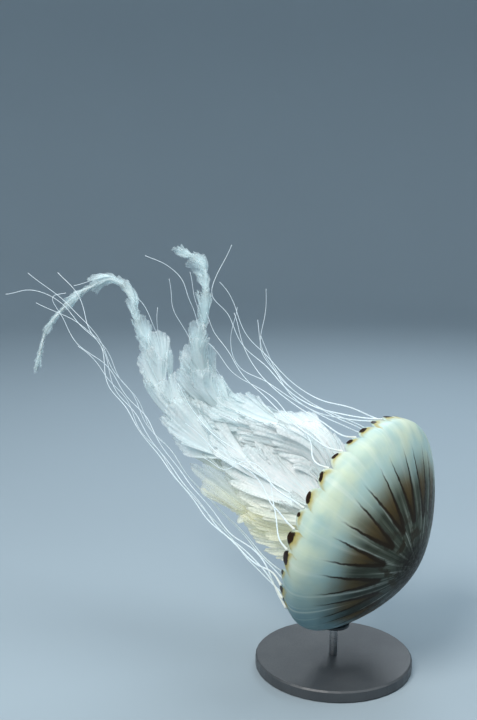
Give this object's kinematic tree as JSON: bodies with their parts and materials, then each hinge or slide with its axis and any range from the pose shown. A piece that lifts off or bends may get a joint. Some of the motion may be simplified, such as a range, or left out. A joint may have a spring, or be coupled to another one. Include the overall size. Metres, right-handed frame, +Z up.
{
  "type": "compass jellyfish model",
  "caption": "Life-size compass jellyfish swimming crown-down, with frilled oral arms and long tentacles trailing up, on a round display stand.",
  "frame": {"origin": "centre of the underside of the stand's base", "axes": "+Z up, away from the floor; the crown of the bell points along +X and -Y and a little down, and the arms and tentacles trail towards -X and +Y and rise"},
  "size_m": [0.4453, 0.3047, 0.427],
  "materials": {
    "bell_jelly": "wet translucent jelly, cream with brown compass marks",
    "arm_jelly": "wet translucent white frills",
    "tentacle_jelly": "wet translucent pale threads",
    "stand_paint": "satin charcoal",
    "stand_steel": "brushed"
  },
  "bodies": {
    "root": {"arm_far_1": "arm_jelly", "arm_far_2": "arm_jelly", "arm_far_3": "arm_jelly", "arm_lower_1": "arm_jelly", "arm_lower_2": "arm_jelly", "arm_near_1": "arm_jelly", "arm_near_2": "arm_jelly", "arm_near_3": "arm_jelly", "arm_near_4": "arm_jelly", "arm_raised_1": "arm_jelly", "arm_raised_2": "arm_jelly", "arm_raised_3": "arm_jelly", "arm_raised_4": "arm_jelly", "bell": "bell_jelly", "bell_margin": "bell_jelly", "manubrium": "arm_jelly", "stand_base": "stand_paint", "stand_rod": "stand_steel", "stand_saddle": "stand_paint", "tentacle_01": "tentacle_jelly", "tentacle_02": "tentacle_jelly", "tentacle_03": "tentacle_jelly", "tentacle_04_1": "tentacle_jelly", "tentacle_04_2": "tentacle_jelly", "tentacle_05_1": "tentacle_jelly", "tentacle_05_2": "tentacle_jelly", "tentacle_06_1": "tentacle_jelly", "tentacle_06_2": "tentacle_jelly", "tentacle_07_1": "tentacle_jelly", "tentacle_07_2": "tentacle_jelly", "tentacle_08_1": "tentacle_jelly", "tentacle_08_2": "tentacle_jelly", "tentacle_09_1": "tentacle_jelly", "tentacle_09_2": "tentacle_jelly", "tentacle_10_1": "tentacle_jelly", "tentacle_10_2": "tentacle_jelly", "tentacle_11_1": "tentacle_jelly", "tentacle_11_2": "tentacle_jelly", "tentacle_12_1": "tentacle_jelly", "tentacle_12_2": "tentacle_jelly", "tentacle_13_1": "tentacle_jelly", "tentacle_13_2": "tentacle_jelly", "tentacle_14_1": "tentacle_jelly", "tentacle_14_2": "tentacle_jelly", "tentacle_15_1": "tentacle_jelly", "tentacle_15_2": "tentacle_jelly", "tentacle_16": "tentacle_jelly", "tentacle_17": "tentacle_jelly", "tentacle_18": "tentacle_jelly", "tentacle_19": "tentacle_jelly", "tentacle_20": "tentacle_jelly", "tentacle_21": "tentacle_jelly", "tentacle_22": "tentacle_jelly", "tentacle_23": "tentacle_jelly", "tentacle_24": "tentacle_jelly"}
  },
  "joints": []
}
